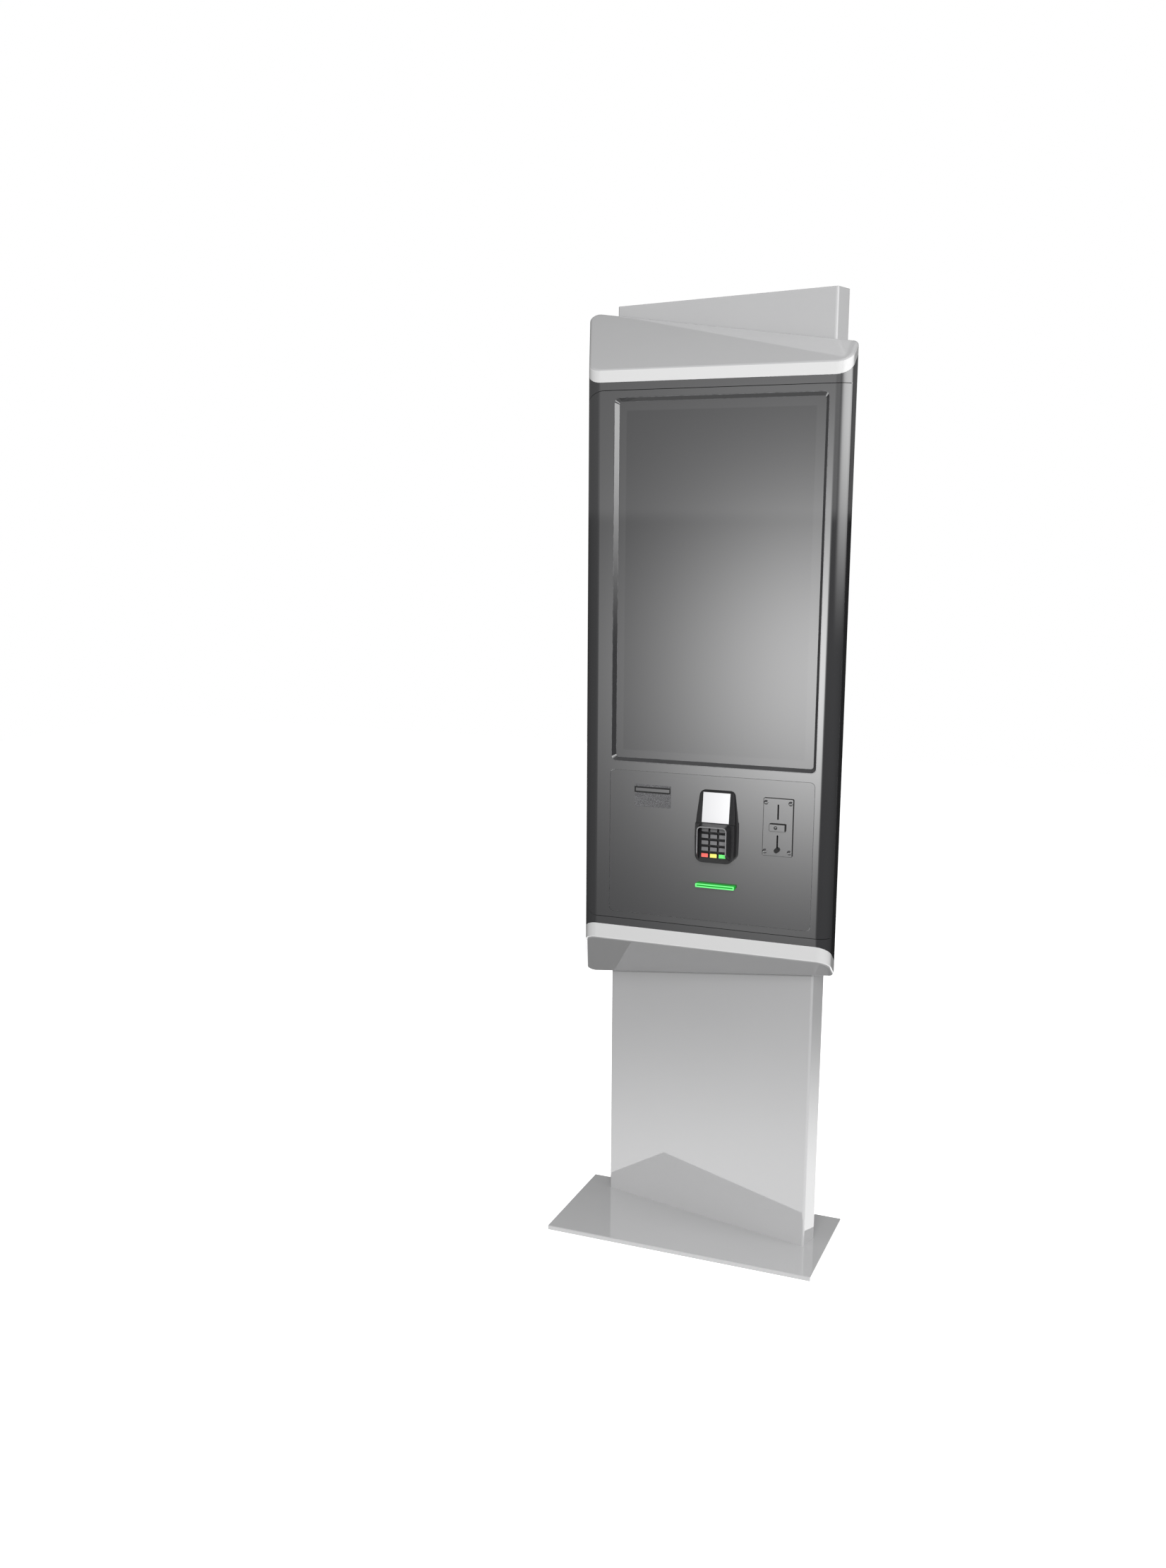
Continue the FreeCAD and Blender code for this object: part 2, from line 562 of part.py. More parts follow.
def paper_roll():
    x0, x1 = PRINTER_X
    y, z = ROLL
    roll = rod((1, 0, 0), (x0 + 5, y, z), ROLL_R, x1 - x0 - 10)
    return roll.cut(rod((1, 0, 0), (x0, y, z), CORE_R, x1 - x0))


# ---- banknote acceptor --------------------------------------------------
def note_bezel():
    x0, x1, z0, z1 = NOTE_SLOT
    ring = box(x0 + 0.2, x1 - 0.2, FRONT_Y, FRONT_Y + NOTE_DEPTH, z0 + 0.2, z1 - 0.2)
    ring = ring.cut(box(x0 + NOTE_RIM, x1 - NOTE_RIM, FRONT_Y - 5, FRONT_Y + NOTE_DEPTH + 3,
                        z0 + NOTE_RIM, z1 - NOTE_RIM))
    return ring.cut(rod((1, 0, 0), (x0 - 5, *SHUTTER_AXIS), SHUTTER_PIN_R + RUN_FIT, x1 - x0 + 10))


def note_shutter():
    """Flap that hangs from a barrel; its pins turn in the bezel's end walls."""
    x0, x1, z0, _ = NOTE_SLOT
    y, z = SHUTTER_AXIS
    gap = NOTE_RIM + SHUTTER_GAP
    flap = box(x0 + gap, x1 - gap, y - SHUTTER_R, y + 0.4, z0 + gap, z)
    barrel = rod((1, 0, 0), (x0 + gap, y, z), SHUTTER_R, x1 - x0 - 2 * gap)
    inset = NOTE_RIM / 2
    return fuse([flap, barrel, rod((1, 0, 0), (x0 + inset, y, z), SHUTTER_PIN_R, x1 - x0 - 2 * inset)])


def note_guide_plate():
    x0, x1, z0, z1 = NOTE_PATCH
    sheet = box(x0, x1, FRONT_Y - 0.6, FRONT_Y, z0, z1)
    s0, s1, t0, t1 = NOTE_SLOT
    return sheet.cut(box(s0 - 5, s1 - 0.3, FRONT_Y - 5, FRONT_Y + 5, t0, t1))


def note_validator():
    s0, s1, t0, t1 = NOTE_SLOT
    body = box(s0 - NOTE_SIDE, s1 + NOTE_SIDE, *VALIDATOR_BOX)
    return body.cut(box(s0 + 3, s1 - 3, VALIDATOR_BOX[0] - 5, VALIDATOR_BOX[0] + 54, t0 + 3.7, t1 - 3.7))


def note_cassette():
    x0, x1 = NOTE_SLOT[0] - NOTE_SIDE, NOTE_SLOT[1] + NOTE_SIDE
    y0, _, z0, _ = CASSETTE_BOX
    handle = box(x0 + 25, x1 - 25, y0 - 8, y0, z0 + 20, z0 + 26)
    return fuse([box(x0, x1, *CASSETTE_BOX), handle])


# ---- card terminal ------------------------------------------------------
def stud_points():
    return [(TERM_C, 925.0), (TERM_C, 1020.0)]


def lean_placement():
    """Local frame whose XZ plane is the leaning screen face."""
    return Placement(Vector(TERM_C, TERM_LEAN_Y, TERM_STEP_Z), Rotation(Vector(1, 0, 0), -TERM_LEAN))


def terminal_mount():
    """Backing plate behind the service panel, with the studs that carry the terminal."""
    back = FRONT_Y + WALL
    base = plate(TERM_C - 32, TERM_C + 32, 905, 1040, back, back + 3, 5)
    studs = [rod((0, 1, 0), (x, FRONT_Y - 8, z), STUD_R, 12) for x, z in stud_points()]
    return fuse([base] + studs)


def terminal_case():
    sides = [(TERM_C + half, z, r) for z, half, r in TERM_HALF]
    mirror = [(TERM_C - half, z, r) for z, half, r in reversed(TERM_HALF)]
    outline = sides + mirror
    face = rounded_face([Vector(x, FRONT_Y, z) for x, z, _ in outline], [r for _, _, r in outline])
    body = face.extrude(Vector(0, TERM_KEY_Y - FRONT_Y, 0))
    body = body.cut(placed(box(-100, 100, -60, 0, 0, 200), lean_placement()))
    rim = [e for e in body.Edges if e.BoundBox.YMax < -104 and e.BoundBox.ZMin > TERM_STEP_Z + 0.1]
    body = body.makeFillet(2.5, rim)
    half_w = TERM_SCREEN_W / 2 + 0.3
    body = body.cut(placed(box(-half_w, half_w, -5, 1.6, 1.2, TERM_SCREEN_H + 1.8), lean_placement()))
    for x, z in key_points():
        half_w, half_h = KEY_W / 2 + KEY_CLEAR, KEY_H / 2 + KEY_CLEAR
        body = body.cut(box(x - half_w, x + half_w, TERM_KEY_Y - 5, TERM_KEY_Y + KEY_IN + 1.6,
                            z - half_h, z + half_h))
    for x, z in stud_points():
        body = body.cut(rod((0, 1, 0), (x, FRONT_Y - 8.5, z), STUD_R + 0.1, 12))
    return body


def terminal_screen():
    half_w = TERM_SCREEN_W / 2
    return placed(box(-half_w, half_w, 0.3, 1.6, 1.5, TERM_SCREEN_H + 1.5), lean_placement())


def shield_loft(inset, drop):
    """Tapered block from the keypad's floor to the shield's rim."""
    wires = []
    for (half, z0, z1), y, r in ((SHIELD_BASE, TERM_KEY_Y, 12), (SHIELD_RIM, SHIELD_Y, 9)):
        level = y - inset if inset and y == SHIELD_Y else y + inset / 2
        solid = plate(TERM_C - half + inset, TERM_C + half - inset, z0 - drop, z1 - inset,
                      level, level + 1, r - inset)
        wires.append(min(solid.Faces, key=lambda f: f.CenterOfMass.y).OuterWire)
    return Part.makeLoft(wires, True, True)


def terminal_shield():
    """Privacy walls left, right and above the keypad, open towards the user's hand."""
    return shield_loft(0, 0).cut(shield_loft(SHIELD_WALL, 30.0))


def key_points():
    return [(TERM_C + i * KEY_PITCH_X, KEY_TOP_Z - j * KEY_PITCH_Z) for j in range(5) for i in (-1, 0, 1)]


KEY_NAMES = ["key_1", "key_2", "key_3", "key_4", "key_5", "key_6", "key_7", "key_8", "key_9",
             "key_star", "key_0", "key_hash", "key_red", "key_yellow", "key_green"]


def key(x, z):
    front = TERM_KEY_Y - KEY_OUT
    cap_solid = plate(x - KEY_W / 2, x + KEY_W / 2, z - KEY_H / 2, z + KEY_H / 2,
                      front, TERM_KEY_Y + KEY_IN, 1.2)
    return cap_solid.makeFillet(0.8, [e for e in cap_solid.Edges if e.BoundBox.YMax < front + 0.1])


# ---- electronics on the rear wall ---------------------------------------
def computer_case():
    return placed(box(*COMPUTER_BOX), REAR)


def power_supply():
    return placed(box(*SUPPLY_BOX), REAR)


def fan_housing():
    u, z = FAN_C
    half = FAN_SIZE / 2
    y1 = COMPUTER_BOX[2]
    frame = plate(u - half, u + half, z - half, z + half, y1 - FAN_T, y1, 4)
    frame = frame.cut(rod((0, 1, 0), (u, y1 - FAN_T - 1, z), FAN_BORE, FAN_T + 2))
    strut = box(u - FAN_BORE - 1, u + FAN_BORE + 1, y1 - 3, y1, z - 3, z + 3)
    hub = rod((0, 1, 0), (u, y1 - 3, z), FAN_HUB_R, 3)
    post = rod((0, 1, 0), (u, y1 - 15, z), FAN_POST_R, 13)
    return placed(fuse([frame, strut, hub, post]), REAR)


def fan_rotor():
    u, z = FAN_C
    y1 = COMPUTER_BOX[2] - 4
    hub = rod((0, 1, 0), (u, y1 - 18, z), FAN_HUB_R, 18)
    blades = []
    for i in range(FAN_BLADES):
        blade = box(-1, 1, -16, 0, FAN_HUB_R - 2, BLADE_R)
        turned = Rotation(Vector(0, 1, 0), i * 360 / FAN_BLADES).multiply(Rotation(Vector(0, 0, 1), 30))
        blades.append(placed(blade, Placement(Vector(u, y1 - 1, z), turned)))
    rotor = fuse([hub] + blades).cut(rod((0, 1, 0), (u, y1 - 12, z), FAN_POST_R + RUN_FIT, 20))
    return placed(rotor, REAR)


# ---- write every piece --------------------------------------------------
PIECES = [base_plate, pillar, pillar_foot, base_screws, pillar_top_cover, rear_shell, mounting_bolts,
          hinge_guides, door_magnet, computer_case, power_supply, fan_housing, fan_rotor,
          door_shell, hinge_arms, magnet_armature, screen_bezel, touch_glass, screen_gasket, lcd_panel,
          display_rails, service_panel, service_panel_frame, coin_plate, coin_plate_screws,
          coin_button, coin_lever, coin_acceptor, coin_box, receipt_bezel, printer_frame,
          printer_head, platen_roller, paper_roll, note_bezel, note_shutter,
          note_guide_plate, note_validator, note_cassette, terminal_mount, terminal_case,
          terminal_screen, terminal_shield]

shapes = {piece.__name__: piece() for piece in PIECES}
shapes["top_cap"] = cap(False)
shapes["bottom_cap"] = cap(True)
for name, (kx, kz) in zip(KEY_NAMES, key_points()):
    shapes[name] = key(kx, kz)

for name, shape in shapes.items():
    shape.exportStep("parts/" + name + ".step")
print(len(shapes), "pieces")
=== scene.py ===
import math

import bmesh
import bpy
import numpy as np
from bpy.props import FloatProperty, FloatVectorProperty, PointerProperty
from bpy.types import NodeSocket, Operator, Panel, PropertyGroup
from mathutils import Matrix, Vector


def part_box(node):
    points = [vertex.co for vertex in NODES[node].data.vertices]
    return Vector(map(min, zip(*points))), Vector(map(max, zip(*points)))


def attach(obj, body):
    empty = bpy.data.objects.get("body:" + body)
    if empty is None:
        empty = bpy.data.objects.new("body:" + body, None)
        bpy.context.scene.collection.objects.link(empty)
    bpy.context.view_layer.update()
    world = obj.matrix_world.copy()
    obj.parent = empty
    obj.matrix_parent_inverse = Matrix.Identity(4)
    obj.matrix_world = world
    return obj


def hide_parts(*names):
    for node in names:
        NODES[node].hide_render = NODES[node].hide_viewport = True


bl_info = {
    "name": "Payment kiosk",
    "version": (1, 0, 0),
    "blender": (4, 5, 0),
    "location": "3D View > Sidebar > Kiosk",
    "description": "Finishes and small pieces for a free-standing payment kiosk",
    "category": "Object",
}

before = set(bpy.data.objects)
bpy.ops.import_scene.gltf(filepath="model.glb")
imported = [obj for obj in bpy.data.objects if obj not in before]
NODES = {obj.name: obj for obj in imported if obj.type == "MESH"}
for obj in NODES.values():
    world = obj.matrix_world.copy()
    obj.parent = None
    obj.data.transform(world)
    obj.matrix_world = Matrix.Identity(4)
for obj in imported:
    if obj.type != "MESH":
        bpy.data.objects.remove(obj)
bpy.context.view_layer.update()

# Faces that get a second finish: painted shade on sides, painted highlights on rims
SHADED_SIDE_TURN = 0.92            # faces that face forwards less than this count as sides and get painted shade
SHIELD_HIGHLIGHT_FRONT = 0.6             # the shield's faces that face forwards more than this are its rim, painted lighter as a highlight
CAP_HIGHLIGHT_TILT = 0.30             # faces of a cap that lean less than this belong to its rim, which gets the paler painted highlight

# Smooth shading of the merged copies
MERGE_DISTANCE = 1e-6
SMOOTH_ANGLE = math.radians(28.0)
AREA_WEIGHT = 100           # how strongly a large face bends the normals beside it

# Detail that every finish shares
BLOTCH_SCALE = 5.0          # slow patches of tone
EDGE_BAND_BREAKUP = 70.0         # gaps in the paler edge band
EDGE_BAND_LIFT = 0.01            # brightness that the edge band (wear, and on the screen lip a painted highlight) adds to any colour
DUST_COLOUR = (0.55, 0.54, 0.52)
DUST_ROUGHNESS = 0.5        # roughness that a full film of dust adds
ROUGH_SPREAD = 0.15         # share by which the roughness follows the tone
GRAIN_DEPTH = 0.0004
COAT_ROUGHNESS = 0.02

# Screen, receipt light, card terminal and note plate
LCD_BORDER = 0.010          # metal edge of the display outside its lit area
BORDER_BLUR = 0.0004        # half width of the change from lit area to border
SCREEN_LIFT = 0.006         # tone between the screen's dark and pale patches
DISPLAY_LIFT = 0.12         # tone between the terminal display's left and right
GLOW_BODY, GLOW_SIDE = 1.25, 0.6            # paler patches and dimmer sides of the lit plastic
SPECKLE_DARK, SPECKLE_PALE = 1.1, 3.4       # tones of the note plate's speckle
SPECKLE_DEPTH = 0.0006

# Light seen in gloss by direction: where a change starts and ends, then its two strengths
AHEAD = (-0.78, -0.95, 0.10, 0.30)          # brighter straight in front of the kiosk
BELOW_LEVEL = (-0.1, 0.1, 0.40, 0.0)        # share kept below the horizon, left to right
HORIZON = (-0.004, 0.004)
WINDOW_ACROSS = (0.50, 1.0)
WINDOW_UP = (-0.09, 0.07)
GROUND = (-0.30, -0.42)
BENEATH = (-0.72, -0.55, 0.12, 1.0)         # the ground is dim straight below
SOFT_LIGHT = (-0.4, 0.5, 0.26, 0.52)        # on matt surfaces: dimmer from below

WHITE = (1.0, 1.0, 1.0)
FLOOR_TONE, FLOOR_LIGHT = 0.92, 0.7
LAMP_SIDE = 2.4
LAMPS = {                                   # place, point aimed at, power
    "key_light": ((1.2, -4.2, 2.9), (0.0, 0.0, 1.1), 165.0),
    "side_light": ((3.8, -0.5, 2.0), (0.0, 0.0, 1.2), 60.0),
    "fill_light": ((-3.2, -3.0, 2.2), (0.0, 0.0, 1.1), 25.0),
}

# Each row: base colour (a setting's name or a value), then what differs from a plain finish.
FINISHES = {
    "gloss_dark_paint": dict(
        base="housing", roughness=0.05, grain=260, bump=0.006, tone=0.03, dust=0.03,
        wear=0.25, wear_and_highlight_tone=1.4, ior=2.0, coat=1.0, coat_ior=2.2),
    "service_panel_paint": dict(
        base="panel", roughness=0.06, grain=260, bump=0.006, tone=0.03, dust=0.03,
        wear=0.25, wear_and_highlight_tone=1.4, ior=2.0, coat=1.0, coat_ior=2.05),
    # Painted highlight: the screen lip's strong, pale edge band stands in for the thin gleam along its
    # edges; it is not wear
    "screen_lip_paint": dict(
        base="housing", roughness=0.05, grain=260, bump=0.006, tone=0.03, dust=0.03,
        wear=1.0, wear_and_highlight_tone=7.0, ior=2.0, coat=1.0, coat_ior=2.0),
    "pale_gloss": dict(
        base="light", roughness=0.06, grain=240, bump=0.004, tone=0.02, dust=0.02,
        wear=0.3, wear_and_highlight_tone=1.3, coat=1.0, coat_ior=1.7),
    # Painted highlight: a paler copy of the pale gloss for the caps' side faces, standing in for the
    # reflections that brighten them
    "white_gloss_rim": dict(
        base="rim", roughness=0.06, grain=240, bump=0.004, tone=0.01, dust=0.02,
        wear=0.2, wear_and_highlight_tone=1.05, coat=1.0, coat_ior=1.6),
    # Black moulded plastic, also painted as shade on the side faces of the keys
    "black_grained_plastic": dict(
        base="black", roughness=0.36, bump=0.55, tone=0.15, dust=0.03, wear_and_highlight_tone=3.0),
    "black_gloss_trim": dict(
        base="black", roughness=0.08, grain=400, bump=0.005, tone=0.05, dust=0.02,
        wear=0.3, wear_and_highlight_tone=2.5, coat=1.0, ior=1.8),
    # Painted highlight: grey on the shield's forward-facing rim, standing in for the light line along
    # its front edge
    "shield_rim_grey": dict(base="shield", roughness=0.30, bump=0.05, tone=0.05, dust=0.0, wear=0.5),
    "coin_plate_satin": dict(
        base="metal", roughness=0.12, grain=700, bump=0.03, tone=0.05, dust=0.02,
        wear=0.0, ior=2.0, coat=1.0, coat_ior=2.1),
    "note_guide_speckle": dict(base="housing", roughness=0.45, dust=0.0, wear=0.1, ior=1.7),
    "zinc_plated_steel": dict(
        base=(0.55, 0.55, 0.56), roughness=0.3, grain=320, bump=0.06, tone=0.1, dust=0.02,
        metallic=1.0, wear_and_highlight_tone=1.3),
    "black_module_coat": dict(
        base=(0.03, 0.03, 0.031), roughness=0.5, grain=700, bump=0.25, tone=0.1, dust=0.1,
        wear_and_highlight_tone=2.0),
    "grey_module_coat": dict(
        base=(0.28, 0.285, 0.29), roughness=0.45, grain=420, bump=0.12, tone=0.08, dust=0.1,
        wear_and_highlight_tone=1.5),
    # Dull rubber, also painted as shade on the side faces of the coin plate and its button
    "dull_rubber": dict(
        base=(0.022, 0.022, 0.022), roughness=0.7, grain=1100, bump=0.3, tone=0.15, dust=0.1,
        wear=0.2, wear_and_highlight_tone=1.6),
    "thermal_paper": dict(
        base=(0.82, 0.82, 0.80), roughness=0.75, grain=1500, bump=0.1, tone=0.03, dust=0.0,
        wear=0.0),
}
KEY_PLASTIC = dict(roughness=0.34, grain=1400, bump=0.12, tone=0.06, dust=0.0, wear=0.5, wear_and_highlight_tone=1.5)
FINISHES["key_grey_plastic"] = dict(KEY_PLASTIC, base="keys")
# The red, yellow and green keys also glow in their own colour: a painted glow, as the keys are no
# lamps
for shade, setting in (("red", "cancel"), ("yellow", "clear"), ("green", "enter")):
    FINISHES[f"key_{shade}_plastic"] = dict(KEY_PLASTIC, base=setting, lit=0.35)


# ---- settings ------------------------------------------------------------
def colour(name, description, default):
    """Colour setting."""
    return FloatVectorProperty(name=name, description=description, default=default,
                               size=3, min=0.0, max=1.0, subtype="COLOR")


def length(name, description, default):
    """Length setting, in metres."""
    return FloatProperty(name=name, description=description, default=default,
                         min=0.0, unit="LENGTH", precision=4)


def angle(name, description, default):
    """Angle setting, in radians."""
    return FloatProperty(name=name, description=description, default=default, subtype="ANGLE")


def strength(name, description, default):
    """Setting for how strong a light is."""
    return FloatProperty(name=name, description=description, default=default, min=0.0)


class KioskColours(PropertyGroup):
    """Colours of the painted and moulded finishes."""
    housing: colour("Housing", "High-gloss paint on the cabinet and door", (0.050, 0.050, 0.052))
    panel: colour("Service panel", "Gloss paint on the lower panel", (0.052, 0.052, 0.054))
    light: colour("Caps and stand", "Pale gloss finish of caps, pillar and base", (0.49, 0.49, 0.495))
    # Painted highlight: the rim is the caps' pale gloss made paler, standing in for reflections
    rim: colour("Cap rims", "White gloss band round the edge of each cap", (0.66, 0.66, 0.66))
    screen: colour("Screen", "Unlit screen behind the touch glass", (0.040, 0.040, 0.042))
    border: colour("Screen border", "Edge of the display behind the glass", (0.058, 0.058, 0.060))
    black: colour("Black plastic", "Card terminal and other black mouldings", (0.018, 0.018, 0.019))
    keys: colour("Keys", "Digit keys", (0.19, 0.19, 0.195))
    # Painted highlight: grey on the shield's black rim, standing in for the light line along its edge
    shield: colour("Shield rim", "Front rim of the keypad's privacy shield", (0.22, 0.22, 0.225))
    cancel: colour("Cancel key", "Red key", (0.72, 0.13, 0.11))
    clear: colour("Clear key", "Yellow key", (0.80, 0.72, 0.16))
    enter: colour("Enter key", "Green key", (0.14, 0.72, 0.17))
    display: colour("Terminal display", "Lit display of the card terminal", (0.60, 0.60, 0.61))
    glow: colour("Receipt light", "Lit receipt slot", (0.004, 0.30, 0.022))
    glow_front: colour("Receipt light front", "Brightest part of the lit slot", (0.20, 0.72, 0.26))
    metal: colour("Coin plate", "Dark satin coin plate", (0.056, 0.056, 0.058))


class KioskSizes(PropertyGroup):
    """Sizes of the patterns in the finishes."""
    # Width of the paler edge band: wear on most finishes, a painted highlight on the screen lip
    wear: length("Edge wear", "Width of the polished band along painted edges", 0.0009)
    grain: length("Plastic grain", "Size of the moulded grain on black plastic", 0.0009)
    speckle: length("Speckle", "Size of the speckle on the note guide plate", 0.0011)
    lit_depth: length("Lit depth", "Depth of the brightest part of the receipt slot's front", 0.0012)


class KioskStage(PropertyGroup):
    """Camera, floor and light."""
    lens: FloatProperty(name="Lens", description="Focal length", default=34.645, unit="CAMERA")
    camera: FloatVectorProperty(name="Camera", description="Camera position", size=3,
                                default=(0.9646, -3.1267, 1.6188), subtype="TRANSLATION")
    pan: angle("Pan", "Camera's turn to the left", 0.40744)
    tilt: angle("Tilt", "Camera's tilt downwards", 0.19978)
    shift: FloatVectorProperty(name="Shift", description="Camera's shift across and up", size=2,
                               default=(0.02554, 0.02373), precision=5)
    floor: length("Floor", "Side of the floor", 14.0)
    glow: strength("Glow", "Strength of the soft light seen in gloss", 2.6)
    glow_width: angle("Glow width", "Half width of that light", 0.078)
    glow_turn: angle("Glow turn", "Direction of that light, left of front", 0.215)
    glow_rise: angle("Glow rise", "Direction of that light above level", -0.10)
    window: strength("Side light", "Strength of the soft light on the right in gloss", 1.8)
    ground: strength("Ground light", "Strength of the pale ground seen in gloss", 1.8)


def colours():
    """Colour settings of the open scene."""
    return bpy.context.scene.kiosk_colours


def sizes():
    """Size settings of the open scene."""
    return bpy.context.scene.kiosk_sizes


# ---- node helpers --------------------------------------------------------
def feed(tree, socket, value):
    """Links an input to another socket, or gives it a plain value."""
    if isinstance(value, NodeSocket):
        tree.links.new(value, socket)
    elif socket.type == "RGBA":
        socket.default_value = (*value, 1.0)
    else:
        socket.default_value = value


def feed_all(tree, node, inputs):
    """Feeds several inputs of a node, each named by its label or number."""
    for key, value in inputs.items():
        feed(tree, node.inputs[key], value)


def add(tree, kind, inputs=None, **settings):
    """Node with its settings and its inputs."""
    node = tree.nodes.new("ShaderNode" + kind)
    for key, value in settings.items():
        setattr(node, key, value)
    feed_all(tree, node, inputs or {})
    return node


def calc(tree, operation, *operands):
    """Result of one arithmetic step on numbers or sockets."""
    return add(tree, "Math", dict(enumerate(operands)), operation=operation).outputs[0]


def ramp(tree, source, start, end, low=0.0, high=1.0, smooth=False):
    """Value that goes from low to high while the source goes from start to end."""
    node = add(tree, "MapRange", {"Value": source, "From Min": start, "From Max": end,
                                  "To Min": low, "To Max": high},
               interpolation_type="SMOOTHSTEP" if smooth else "LINEAR")
    return node.outputs["Result"]


def noise(tree, **inputs):
    """Noise value over the object's own coordinates."""
    spot = add(tree, "TexCoord").outputs["Object"]
    return add(tree, "TexNoise", {"Vector": spot, **inputs}).outputs["Fac"]


def axes(tree, vector):
    """The three parts of a vector, by name."""
    return add(tree, "SeparateXYZ", {0: vector}).outputs


def blend_colour(tree, low, high, mask):
    """Colour that goes from one value or socket to another by a mask."""
    return add(tree, "Mix", {0: mask, 6: low, 7: high}, data_type="RGBA").outputs[2]


def scaled(base, factor, lift=0.0):
    """Colour times a factor plus a lift, kept at or below white."""
    return tuple(min(1.0, part * factor + lift) for part in base)


# ---- shared shader groups ------------------------------------------------
def new_group(name, inputs, outputs):
    """Empty shader group with named number sockets; returns it with its two end nodes."""
    group = bpy.data.node_groups.new(name, "ShaderNodeTree")
    for label, value in inputs.items():
        socket = group.interface.new_socket(name=label, in_out="INPUT", socket_type="NodeSocketFloat")
        socket.default_value = value
    for label in outputs:
        group.interface.new_socket(name=label, in_out="OUTPUT", socket_type="NodeSocketFloat")
    return group, group.nodes.new("NodeGroupInput"), group.nodes.new("NodeGroupOutput")


def edge_group():
    """Mask of the sharp outer edges: how far a rounded normal leaves the true one."""
    group, start, end = new_group("edge_wear", {"Width": 0.001, "Breakup": 60.0}, ("Mask",))
    rounded = add(group, "Bevel", {"Radius": start.outputs["Width"]}, samples=4)
    true = add(group, "NewGeometry")
    likeness = add(group, "VectorMath", {0: rounded.outputs["Normal"], 1: true.outputs["Normal"]},
                   operation="DOT_PRODUCT")
    away = ramp(group, likeness.outputs["Value"], 0.995, 0.80)
    patchy = ramp(group, noise(group, Scale=start.outputs["Breakup"], Detail=3.0), 0.35, 0.65)
    feed(group, end.inputs["Mask"], calc(group, "MULTIPLY", away, patchy))
    return group


def grain_group():
    """Fine moulded or sprayed grain: noise height at one scale, with slow blotches of tone."""
    group, start, end = new_group("fine_grain", {"Scale": 900.0, "Blotch": 6.0}, ("Height", "Tone"))
    fine = noise(group, Scale=start.outputs["Scale"], Detail=2.0, Roughness=0.55)
    slow = noise(group, Scale=start.outputs["Blotch"], Detail=4.0)
    feed_all(group, end, {"Height": fine, "Tone": slow})
    return group


def dust_group():
    """Thin dust: more where a surface faces up, broken by noise."""
    group, start, end = new_group("dust_film", {"Amount": 0.3}, ("Mask",))
    up = ramp(group, axes(group, add(group, "NewGeometry").outputs["Normal"])["Z"], 0.2, 1.0)
    spots = ramp(group, noise(group, Scale=14.0, Detail=6.0), 0.4, 0.75)
    film = calc(group, "MULTIPLY", up, spots)
    feed(group, end.inputs["Mask"], calc(group, "MULTIPLY", film, start.outputs["Amount"]))
    return group


GROUP_MAKERS = {"edge_wear": edge_group, "fine_grain": grain_group, "dust_film": dust_group}


def place_group(tree, name, inputs):
    """Instance of a shared group, which is built the first time it is asked for."""
    shared = bpy.data.node_groups.get(name) or GROUP_MAKERS[name]()
    return add(tree, "Group", inputs, node_tree=shared)


# ---- materials -----------------------------------------------------------
def clean_material(name):
    """Material with one bare Principled surface; an earlier one of the name is emptied."""
    material = bpy.data.materials.get(name) or bpy.data.materials.new(name)
    material.use_nodes = True
    tree = material.node_tree
    tree.nodes.clear()
    shader = add(tree, "BsdfPrincipled")
    add(tree, "OutputMaterial", {"Surface": shader.outputs["BSDF"]})
    return material, tree, shader


def finish_material(name, base, roughness, grain=900.0, bump=0.02, tone=0.12, wear=0.35,
                    wear_and_highlight_tone=1.8, dust=0.25, metallic=0.0, coat=0.0, ior=1.5, coat_ior=1.5,
                    lit=0.0):
    """Surface with a slow change of tone, a paler edge band, dust and fine relief.

    The colour blends from (1 - tone) to (1 + tone) times the base by slow noise, then to
    wear_and_highlight_tone times the base on the edge band (wear, and on the screen lip a
    painted highlight), then to dust. The grain is noise cells a metre. A nonzero lit adds the
    base as emission, a painted glow on the coloured keys.
    """
    material, tree, shader = clean_material(name)
    detail = place_group(tree, "fine_grain", {"Scale": grain, "Blotch": BLOTCH_SCALE})
    edges = place_group(tree, "edge_wear", {"Width": sizes().wear, "Breakup": EDGE_BAND_BREAKUP})
    dusty = place_group(tree, "dust_film", {"Amount": dust}).outputs["Mask"]
    patches = detail.outputs["Tone"]
    body = blend_colour(tree, scaled(base, 1 - tone), scaled(base, 1 + tone), patches)
    # Paler edge band: wear, and on the screen lip a painted highlight
    wear_and_highlight_mask = calc(tree, "MULTIPLY", edges.outputs["Mask"], wear)
    wear_and_highlight_colour = blend_colour(tree, body, scaled(base, wear_and_highlight_tone, EDGE_BAND_LIFT), wear_and_highlight_mask)
    smooth = ramp(tree, patches, 0.0, 1.0, roughness * (1 - ROUGH_SPREAD),
                  roughness * (1 + ROUGH_SPREAD))
    relief = add(tree, "Bump", {"Strength": bump, "Distance": GRAIN_DEPTH,
                                "Height": detail.outputs["Height"]})
    feed_all(tree, shader, {
        "Base Color": blend_colour(tree, wear_and_highlight_colour, DUST_COLOUR, dusty),
        "Roughness": calc(tree, "MULTIPLY_ADD", dusty, DUST_ROUGHNESS, smooth),
        "Normal": relief.outputs["Normal"], "Metallic": metallic, "IOR": ior,
        "Coat Weight": coat, "Coat Roughness": COAT_ROUGHNESS, "Coat IOR": coat_ior})
    # A painted glow: the base colour as emission, used on the coloured keys, which are no lamps
    if lit:
        feed_all(tree, shader, {"Emission Color": base, "Emission Strength": lit})
    return material


